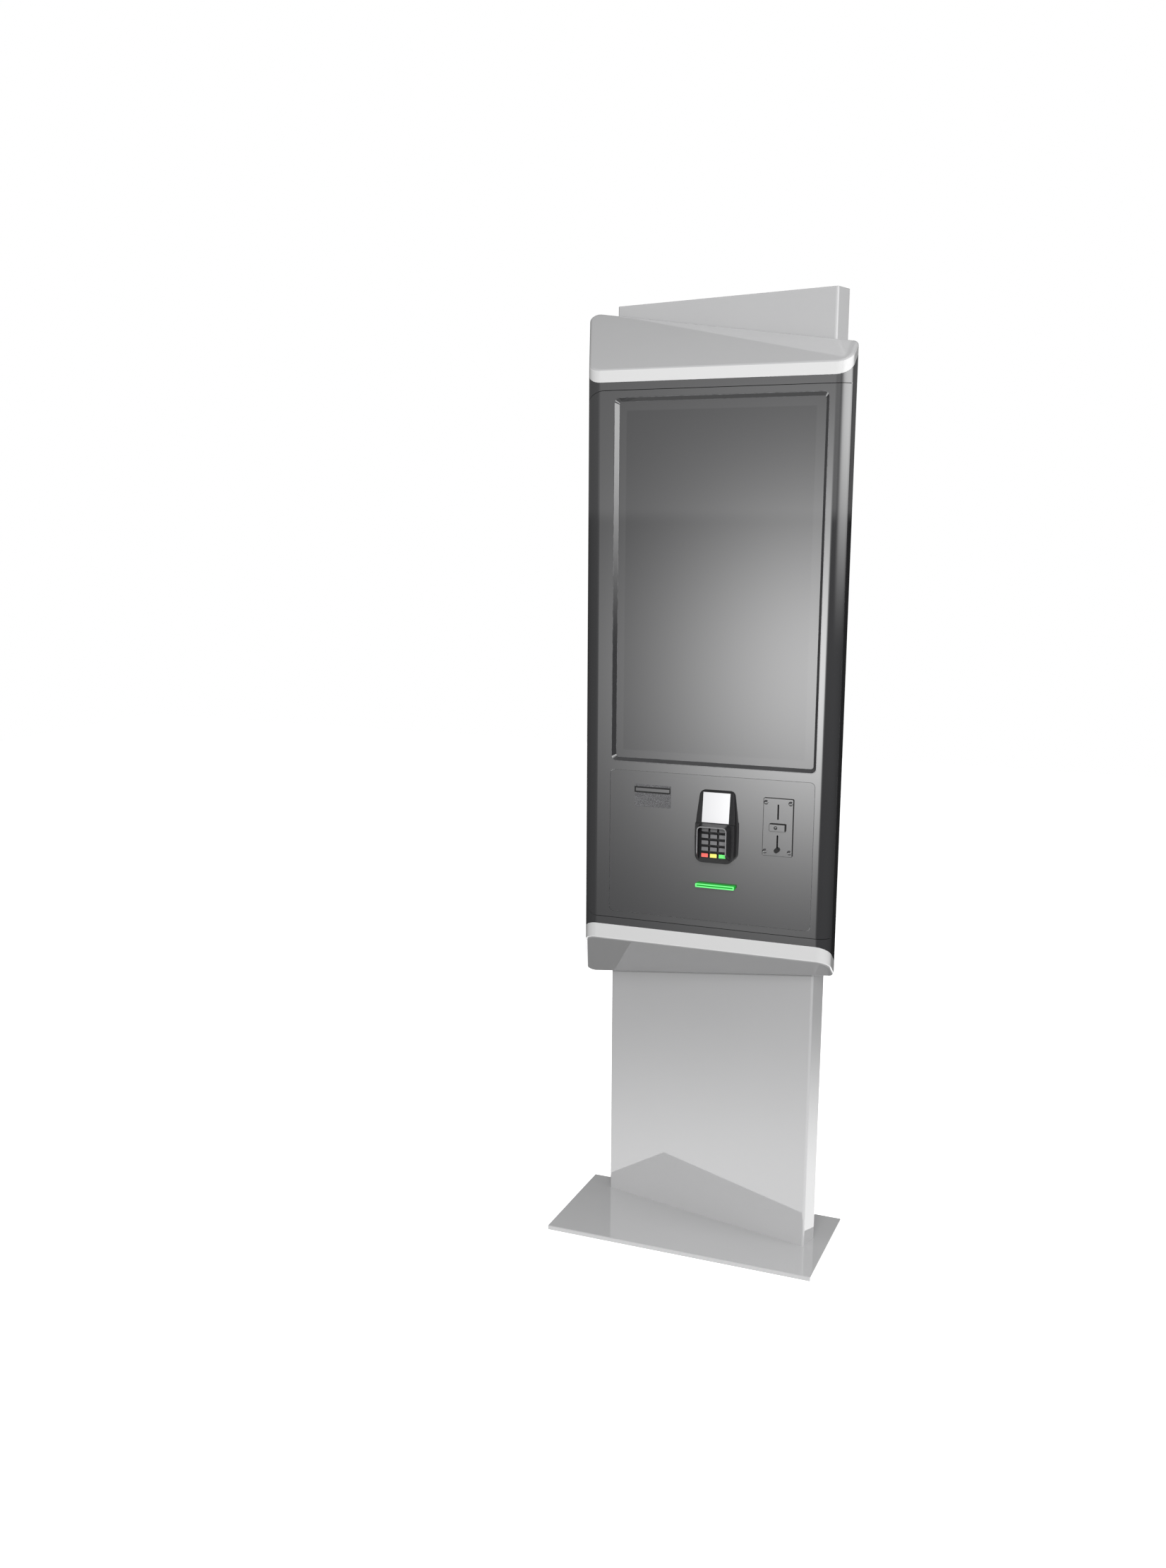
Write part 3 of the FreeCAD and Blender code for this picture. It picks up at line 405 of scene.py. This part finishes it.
def finish(name, **changes):
    """Material of one row of the table of finishes, with changes to that row."""
    row = {**FINISHES[name], **changes}
    base = row.pop("base")
    if isinstance(base, str):
        base = getattr(colours(), base)
    return finish_material(name, tuple(base), **row)


def black_plastic_and_side_shade():
    """Black moulded plastic with a grain of the set size, also painted as shade on the keys' side
    faces.
    """
    return finish("black_grained_plastic", grain=1.0 / sizes().grain)


def note_texture():
    """Speckled guide plate: two tones picked by fine noise, with matching relief."""
    material = finish("note_guide_speckle")
    tree = material.node_tree
    base = tuple(colours().housing)
    mask = ramp(tree, noise(tree, Scale=1.0 / sizes().speckle, Detail=1.0), 0.42, 0.60)
    relief = add(tree, "Bump", {"Strength": 0.5, "Distance": SPECKLE_DEPTH, "Height": mask})
    feed_all(tree, tree.nodes["Principled BSDF"], {
        "Base Color": blend_colour(tree, scaled(base, SPECKLE_DARK), scaled(base, SPECKLE_PALE), mask),
        "Normal": relief.outputs["Normal"]})
    return material


def touch_glass_material():
    """Dark front glass with a faint smear in its gloss and the display's border behind it.

    The border starts where the larger of |x - cx| - width / 2 and |z - cz| - height / 2 is zero.
    """
    material, tree, shader = clean_material("touch_glass")
    patches = place_group(tree, "fine_grain", {"Scale": 40.0, "Blotch": 4.0}).outputs["Tone"]
    screen = tuple(colours().screen)
    tint = blend_colour(tree, screen, scaled(screen, 1.0, SCREEN_LIFT), patches)
    low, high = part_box("lcd_panel")
    spot = axes(tree, add(tree, "TexCoord").outputs["Object"])
    reach = []
    for axis, near, far in (("X", low.x, high.x), ("Z", low.z, high.z)):
        off = calc(tree, "ABSOLUTE", calc(tree, "SUBTRACT", spot[axis], (near + far) / 2))
        reach.append(calc(tree, "SUBTRACT", off, (far - near) / 2 - LCD_BORDER))
    edge = ramp(tree, calc(tree, "MAXIMUM", *reach), -BORDER_BLUR, BORDER_BLUR)
    feed_all(tree, shader, {
        "Base Color": blend_colour(tree, tint, tuple(colours().border), edge),
        "Roughness": ramp(tree, patches, 0.0, 1.0, 0.01, 0.05),
        "Metallic": 0.0, "Transmission Weight": 0.0, "IOR": 1.95,
        "Coat Weight": 1.0, "Coat IOR": 1.7, "Coat Roughness": 0.01})
    return material


def glow_material():
    """Lit green plastic, brightest on its front face."""
    material, tree, shader = clean_material("lit_green_plastic")
    base = tuple(colours().glow)
    patches = place_group(tree, "fine_grain", {"Scale": 500.0, "Blotch": 30.0}).outputs["Tone"]
    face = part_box("receipt_bezel")[0].y
    depth = axes(tree, add(tree, "TexCoord").outputs["Object"])["Y"]
    front = ramp(tree, depth, face + sizes().lit_depth, face)
    shine = blend_colour(tree, scaled(base, GLOW_SIDE), tuple(colours().glow_front), front)
    feed_all(tree, shader, {
        "Base Color": blend_colour(tree, base, scaled(base, GLOW_BODY), patches),
        "Emission Color": shine, "Emission Strength": 1.0, "Roughness": 0.2})
    return material


def terminal_screen_material():
    """Pale lit display that grows paler to the right."""
    material, tree, shader = clean_material("terminal_display")
    low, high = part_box("terminal_screen")
    display = tuple(colours().display)
    across = ramp(tree, axes(tree, add(tree, "TexCoord").outputs["Object"])["X"], low.x, high.x)
    tone = blend_colour(tree, display, scaled(display, 1.0, DISPLAY_LIFT), across)
    feed_all(tree, shader, {"Base Color": tone, "Emission Color": tone, "Emission Strength": 0.25,
                            "Roughness": 0.08, "Coat Weight": 0.5})
    return material


def paint(material, *names):
    """Gives whole CAD nodes one material."""
    for name in names:
        mesh = NODES[name].data
        mesh.materials.clear()
        mesh.materials.append(material)


# ---- skins over faceted CAD shells ---------------------------------------
def smooth_copy(node, name, material, body):
    """Copy of a CAD node with its loose triangles joined and its curved faces shaded smooth."""
    mesh = NODES[node].data.copy()
    mesh.name = name
    piece = bpy.data.objects.new(name, mesh)
    bpy.context.scene.collection.objects.link(piece)
    if mesh.has_custom_normals:
        mesh.attributes.remove(mesh.attributes["custom_normal"])
    work = bmesh.new()
    work.from_mesh(mesh)
    bmesh.ops.remove_doubles(work, verts=work.verts, dist=MERGE_DISTANCE)
    work.to_mesh(mesh)
    work.free()
    mesh.shade_smooth()
    mesh.set_sharp_from_angle(angle=SMOOTH_ANGLE)
    mesh.materials.clear()
    mesh.materials.append(material)
    even = piece.modifiers.new("even_normals", "WEIGHTED_NORMAL")
    even.keep_sharp = True
    even.weight = AREA_WEIGHT
    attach(piece, body)
    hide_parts(node)
    return piece


def second_finish(piece, material, chosen):
    """Gives the faces whose normals are chosen a second material."""
    piece.data.materials.append(material)
    for face in piece.data.polygons:
        if chosen(face.normal):
            face.material_index = 1


def paint_side_shade(piece, material):
    """Painted shade: a darker material on the faces that turn away from the front, standing in for the
    shadow in the gaps and holes round raised parts.
    """
    second_finish(piece, material, lambda normal: abs(normal.y) < SHADED_SIDE_TURN)


# ---- operators -----------------------------------------------------------
class KioskOperator(Operator):
    """Shared base of the kiosk's operators."""
    bl_options = {"REGISTER", "UNDO"}


class KIOSK_OT_stand(KioskOperator):
    """Finish the base plate, pillar and its cover"""
    bl_idname = "kiosk.stand"
    bl_label = "Stand"

    def execute(self, context):
        pale = finish("pale_gloss")
        for node in ("base_plate", "pillar", "pillar_top_cover"):
            smooth_copy(node, node + "_finished", pale, "stand")
        paint(finish("zinc_plated_steel"), "pillar_foot", "base_screws", "mounting_bolts")
        return {"FINISHED"}


class KIOSK_OT_cabinet(KioskOperator):
    """Finish the cabinet, its door and the two caps"""
    bl_idname = "kiosk.cabinet"
    bl_label = "Cabinet"

    def execute(self, context):
        dark = finish("gloss_dark_paint")
        smooth_copy("rear_shell", "rear_shell_finished", dark, "stand")
        smooth_copy("door_shell", "door_shell_finished", dark, "door")
        # Painted highlight: each cap's side faces get the paler rim finish, standing in for
        # reflections
        pale, rim = finish("pale_gloss"), finish("white_gloss_rim")
        for node in ("top_cap", "bottom_cap"):
            piece = smooth_copy(node, node + "_finished", pale, "stand")
            second_finish(piece, rim, lambda normal: abs(normal.z) < CAP_HIGHLIGHT_TILT)
        paint(finish("zinc_plated_steel"), "hinge_guides", "hinge_arms", "service_panel_frame",
              "display_rails", "magnet_armature", "terminal_mount")
        paint(finish("black_module_coat"), "door_magnet")
        return {"FINISHED"}


class KIOSK_OT_screen(KioskOperator):
    """Finish the screen, its bevelled lip and the glass"""
    bl_idname = "kiosk.screen"
    bl_label = "Screen"

    def execute(self, context):
        smooth_copy("screen_bezel", "screen_lip", finish("screen_lip_paint"), "door")
        paint(touch_glass_material(), "touch_glass")
        paint(finish("black_gloss_trim"), "lcd_panel")
        paint(finish("dull_rubber"), "screen_gasket")
        return {"FINISHED"}


class KIOSK_OT_service_panel(KioskOperator):
    """Finish the lower panel with its coin plate, note slot and receipt slot"""
    bl_idname = "kiosk.service_panel"
    bl_label = "Service panel"

    def execute(self, context):
        # shade is the dull rubber: the real finish of the lever and note bezel, and painted shade on
        # the sides of the coin plate and its button
        gloss, metal, shade = map(finish, ("service_panel_paint", "coin_plate_satin", "dull_rubber"))
        smooth_copy("service_panel", "service_panel_finished", gloss, "door")
        # Painted shade: the side faces of the coin plate, its slots, screw holes and button get the
        # dull rubber, standing in for the shadow in the gaps
        paint_side_shade(smooth_copy("coin_plate", "coin_plate_finished", metal, "door"), shade)
        paint_side_shade(smooth_copy("coin_button", "coin_button_finished", metal, "coin_button"), shade)
        smooth_copy("coin_lever", "coin_lever_finished", shade, "coin_lever")
        smooth_copy("coin_plate_screws", "coin_plate_screw_heads", metal, "door")
        smooth_copy("receipt_bezel", "receipt_slot_light", glow_material(), "door")
        paint(shade, "note_bezel")
        paint(gloss, "note_shutter")
        paint(note_texture(), "note_guide_plate")
        return {"FINISHED"}


class KIOSK_OT_terminal(KioskOperator):
    """Finish the card terminal and its keys"""
    bl_idname = "kiosk.terminal"
    bl_label = "Card terminal"

    def execute(self, context):
        black = black_plastic_and_side_shade()
        smooth_copy("terminal_case", "terminal_case_finished", black, "door")
        shield = smooth_copy("terminal_shield", "terminal_shield_finished", black, "door")
        # Painted highlight: the shield's forward-facing faces get the grey rim finish
        second_finish(shield, finish("shield_rim_grey"), lambda normal: normal.y < -SHIELD_HIGHLIGHT_FRONT)
        paint(terminal_screen_material(), "terminal_screen")
        palette = {node: finish(node + "_plastic") for node in ("key_red", "key_yellow", "key_green")}
        plain = finish("key_grey_plastic")
        for node in sorted(n for n in NODES if n.startswith("key_")):
            # Painted shade: each key's side faces get the black plastic, standing in for the shadow
            # between the keys
            paint_side_shade(smooth_copy(node, node + "_cap", palette.get(node, plain), node), black)
        return {"FINISHED"}


class KIOSK_OT_modules(KioskOperator):
    """Finish the modules inside the cabinet"""
    bl_idname = "kiosk.modules"
    bl_label = "Inner modules"

    def execute(self, context):
        paint(finish("black_module_coat"), "coin_acceptor", "note_validator", "printer_head",
              "fan_housing", "fan_rotor")
        paint(finish("grey_module_coat"), "coin_box", "note_cassette", "computer_case",
              "power_supply")
        paint(finish("zinc_plated_steel"), "printer_frame")
        paint(finish("dull_rubber"), "platen_roller")
        paint(finish("thermal_paper"), "paper_roll")
        return {"FINISHED"}


class KIOSK_OT_stage(KioskOperator):
    """Build the floor, the studio light and the camera"""
    bl_idname = "kiosk.stage"
    bl_label = "Stage"

    def execute(self, context):
        build_floor()
        build_world()
        build_lights()
        build_camera()
        return {"FINISHED"}


# ---- stage ---------------------------------------------------------------
def build_floor():
    """Pale square floor that gloss and matt surfaces do not see."""
    half = bpy.context.scene.kiosk_stage.floor / 2
    corners = half * np.array([(-1, -1, 0), (1, -1, 0), (1, 1, 0), (-1, 1, 0)])
    mesh = bpy.data.meshes.new("floor")
    mesh.from_pydata(corners.tolist(), [], [(0, 1, 2, 3)])
    floor = bpy.data.objects.new("floor", mesh)
    bpy.context.scene.collection.objects.link(floor)
    material, tree, shader = clean_material("pale_floor")
    feed_all(tree, shader, {
        "Base Color": (FLOOR_TONE,) * 3, "Roughness": 0.9, "Specular IOR Level": 0.0,
        "Emission Color": WHITE, "Emission Strength": FLOOR_LIGHT})
    mesh.materials.append(material)
    floor.visible_glossy = False
    floor.visible_diffuse = False


def gloss_by_direction(tree, direction, spot):
    """Light that gloss sees: a dim room, a window on the right, pale ground and a round glow.

    The glow falls off from its middle like a bell curve: strength times
    exp((cos(angle) - 1) / spread), with the spread in squared radians.
    """
    stage = bpy.context.scene.kiosk_stage
    turn, rise = stage.glow_turn, stage.glow_rise
    middle = (-math.sin(turn) * math.cos(rise), -math.cos(turn) * math.cos(rise), math.sin(rise))
    aim = add(tree, "VectorMath", {0: direction, 1: middle}, operation="DOT_PRODUCT").outputs["Value"]
    fall = calc(tree, "DIVIDE", calc(tree, "SUBTRACT", aim, 1.0), stage.glow_width ** 2)
    bell = calc(tree, "EXPONENT", fall)
    level = ramp(tree, spot["Z"], *HORIZON, low=ramp(tree, spot["X"], *BELOW_LEVEL))
    room = calc(tree, "MULTIPLY", ramp(tree, spot["Y"], *AHEAD), level)
    window = ramp(tree, spot["X"], *WINDOW_ACROSS, high=stage.window, smooth=True)
    height = ramp(tree, spot["Z"], *WINDOW_UP, smooth=True)
    ground = ramp(tree, spot["Z"], *GROUND, high=stage.ground, smooth=True)
    beneath = ramp(tree, spot["Z"], *BENEATH, smooth=True)
    lower = calc(tree, "MULTIPLY_ADD", ground, beneath, room)
    all_round = calc(tree, "MULTIPLY_ADD", window, height, lower)
    return calc(tree, "MULTIPLY_ADD", bell, stage.glow, all_round)


def build_world():
    """White room for the eye, even light for matt surfaces, light by direction for gloss."""
    world = bpy.data.worlds.new("studio")
    bpy.context.scene.world = world
    world.use_nodes = True
    tree = world.node_tree
    tree.nodes.clear()
    direction = add(tree, "TexCoord").outputs["Generated"]
    spot = axes(tree, direction)
    strengths = (gloss_by_direction(tree, direction, spot), ramp(tree, spot["Z"], *SOFT_LIGHT), 1.0)
    glossy, matt, seen = (add(tree, "Background", {"Color": WHITE, "Strength": power}).outputs[0]
                          for power in strengths)
    path = add(tree, "LightPath").outputs
    bounced = add(tree, "MixShader", {0: path["Is Glossy Ray"], 1: matt, 2: glossy})
    final = add(tree, "MixShader", {0: path["Is Camera Ray"], 1: bounced.outputs[0], 2: seen})
    add(tree, "OutputWorld", {"Surface": final.outputs[0]}).is_active_output = True


def build_lights():
    """Three large soft lamps: a key in front, one on the right, a weak fill on the left."""
    for name, (place, target, power) in LAMPS.items():
        data = bpy.data.lights.new(name, "AREA")
        data.energy = power
        data.size = LAMP_SIDE
        lamp = bpy.data.objects.new(name, data)
        bpy.context.scene.collection.objects.link(lamp)
        lamp.location = place
        lamp.rotation_mode = "QUATERNION"
        lamp.rotation_quaternion = (Vector(place) - Vector(target)).to_track_quat("Z", "Y")
        lamp.visible_glossy = False


def build_camera():
    """Camera at its set place, turned left by the pan and down by the tilt."""
    stage = bpy.context.scene.kiosk_stage
    data = bpy.data.cameras.new("camera")
    data.lens = stage.lens
    data.sensor_width = 36.0
    data.shift_x, data.shift_y = stage.shift
    data.clip_end = 60.0
    camera = bpy.data.objects.new("camera", data)
    bpy.context.scene.collection.objects.link(camera)
    camera.location = stage.camera
    ahead = Vector((-math.sin(stage.pan) * math.cos(stage.tilt),
                    math.cos(stage.pan) * math.cos(stage.tilt), -math.sin(stage.tilt)))
    camera.rotation_mode = "QUATERNION"
    camera.rotation_quaternion = ahead.to_track_quat("-Z", "Y")
    bpy.context.scene.camera = camera
    bpy.context.scene.view_settings.view_transform = "Standard"


# ---- panel and registration ----------------------------------------------
OPERATORS = (KIOSK_OT_stand, KIOSK_OT_cabinet, KIOSK_OT_screen, KIOSK_OT_service_panel,
             KIOSK_OT_terminal, KIOSK_OT_modules, KIOSK_OT_stage)


class KIOSK_PT_panel(Panel):
    """Lists the kiosk's operators and settings"""
    bl_idname = "KIOSK_PT_panel"
    bl_label = "Payment kiosk"
    bl_space_type = "VIEW_3D"
    bl_region_type = "UI"
    bl_category = "Kiosk"

    def draw(self, context):
        for group in ("kiosk_colours", "kiosk_sizes", "kiosk_stage"):
            settings = getattr(context.scene, group)
            for name in settings.__annotations__:
                self.layout.prop(settings, name)
        for operator in OPERATORS:
            self.layout.operator(operator.bl_idname)


SETTINGS = {"kiosk_colours": KioskColours, "kiosk_sizes": KioskSizes, "kiosk_stage": KioskStage}


def register():
    """Registers the classes and hangs the settings on the scene."""
    for cls in (*SETTINGS.values(), *OPERATORS, KIOSK_PT_panel):
        bpy.utils.register_class(cls)
    for name, cls in SETTINGS.items():
        setattr(bpy.types.Scene, name, PointerProperty(type=cls))


def unregister():
    """Takes the settings and the classes away again."""
    for name in SETTINGS:
        delattr(bpy.types.Scene, name)
    for cls in reversed((*SETTINGS.values(), *OPERATORS, KIOSK_PT_panel)):
        bpy.utils.unregister_class(cls)


def main():
    """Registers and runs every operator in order."""
    register()
    for operator in OPERATORS:
        family, action = operator.bl_idname.split(".")
        getattr(getattr(bpy.ops, family), action)()


if __name__ == "__main__":
    main()
